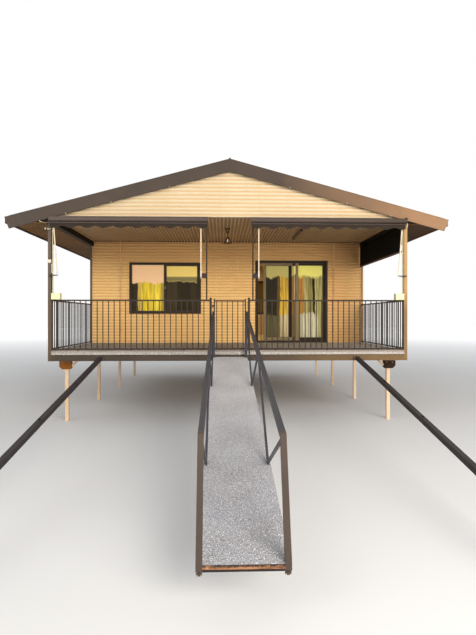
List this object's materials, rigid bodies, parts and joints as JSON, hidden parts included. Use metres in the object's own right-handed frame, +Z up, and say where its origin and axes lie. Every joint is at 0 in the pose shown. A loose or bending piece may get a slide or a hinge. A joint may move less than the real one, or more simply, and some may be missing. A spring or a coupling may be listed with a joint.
{
  "type": "stilt house",
  "caption": "Corrugated cabin on stilts with a gabled verandah, picket balustrade and gate, sliding door, awnings, a hinged gangway and hinged mooring arms.",
  "frame": {"origin": "centre of the bounding box in plan, at the foot of the stilts (water level)", "axes": "+X to the right as seen from the gangway, +Y from the gangway's low end towards the house, +Z up"},
  "size_m": [8.54, 15.182, 5.202],
  "materials": {
    "pale_steel": "satin paint",
    "rusty_steel": "rust-stained paint",
    "dark_steel": "satin paint",
    "dark_trim": "satin paint",
    "grey_floor": "matte speckled coating",
    "wall_board": "matte paint",
    "white_board": "matte paint",
    "cream_sheet": "satin paint on corrugated sheet",
    "cream_gable": "satin paint on corrugated sheet",
    "brown_lining": "satin paint",
    "roof_core": "matte",
    "brown_sheet": "satin paint on corrugated sheet",
    "dark_aluminium": "satin powder coat",
    "grey_aluminium": "satin powder coat",
    "clear_glass": "clear",
    "grey_canvas": "woven",
    "black_mesh": "woven mesh",
    "white_metal": "gloss paint",
    "ivory_plastic": "matte",
    "bronze_metal": "satin",
    "timber": "weathered"
  },
  "bodies": {
    "house": {"stilts": "pale_steel", "bearers": "rusty_steel", "floor_frame": "dark_steel", "verandah_floor": "grey_floor", "house_floor": "grey_floor", "front_wall_left": "wall_board", "front_wall_right": "wall_board", "front_wall_head": "wall_board", "side_walls": "wall_board", "rear_wall": "wall_board", "front_cladding": "cream_sheet", "side_claddings": "cream_sheet", "rear_cladding": "cream_sheet", "corner_flashings": "cream_sheet", "gables": "cream_gable", "verandah_ceiling": "brown_lining", "house_ceiling": "white_board", "soffits": "brown_lining", "roof_panels": "roof_core", "roof_sheets": "brown_sheet", "ridge_cap": "brown_sheet", "barge_boards": "dark_trim", "eave_fascias": "dark_trim", "verandah_frames": "dark_steel", "awning_guides": "dark_steel", "gate_posts": "dark_steel", "front_balustrade_left": "dark_steel", "front_balustrade_right": "dark_steel", "side_balustrade_left": "dark_steel", "side_balustrade_right": "dark_steel", "window_frames": "dark_aluminium", "glazing": "clear_glass", "door_frame": "dark_aluminium", "fixed_door_leaf": "dark_aluminium", "awning_cassettes": "grey_aluminium", "awning_valances": "grey_canvas", "awning_arms": "white_metal", "side_awnings": "dark_steel", "side_screen": "black_mesh", "awning_controls": "ivory_plastic", "wall_conduits": "ivory_plastic", "lantern": "bronze_metal", "batten_light": "dark_steel", "hinge_brackets": "dark_steel"},
    "sliding_door": {"sliding_door_leaf": "dark_aluminium", "sliding_door_glass": "clear_glass"},
    "gate": {"gate": "dark_steel"},
    "gangway": {"gangway_deck": "grey_floor", "gangway_frame": "dark_steel", "gangway_end_strip": "timber", "gangway_feet": "dark_steel", "gangway_rail_left": "dark_steel", "gangway_rail_right": "dark_steel"},
    "mooring_arm_left": {"mooring_arm_left": "dark_steel"},
    "mooring_arm_right": {"mooring_arm_right": "dark_steel"}
  },
  "joints": [
    {"name": "door_slide", "type": "slide", "parent": "house", "child": "sliding_door", "axis": [1, 0, 0], "range_m": [-0.134, 0.69]},
    {"name": "gate_hinge", "type": "hinge", "parent": "house", "child": "gate", "pos_m": [-0.33, -1.477, 1.99], "axis": [0, 0, 1], "range_deg": [0, 90]},
    {"name": "gangway_hinge", "type": "hinge", "parent": "house", "child": "gangway", "pos_m": [0, -1.561, 1.303], "axis": [-1, 0, 0], "range_deg": [0, 5]},
    {"name": "mooring_hinge_left", "type": "hinge", "parent": "house", "child": "mooring_arm_left", "pos_m": [-2.48, -1.561, 1.342], "axis": [-1, 0, 0], "range_deg": [0, 5]},
    {"name": "mooring_hinge_right", "type": "hinge", "parent": "house", "child": "mooring_arm_right", "pos_m": [2.48, -1.561, 1.342], "axis": [-1, 0, 0], "range_deg": [0, 5]}
  ]
}
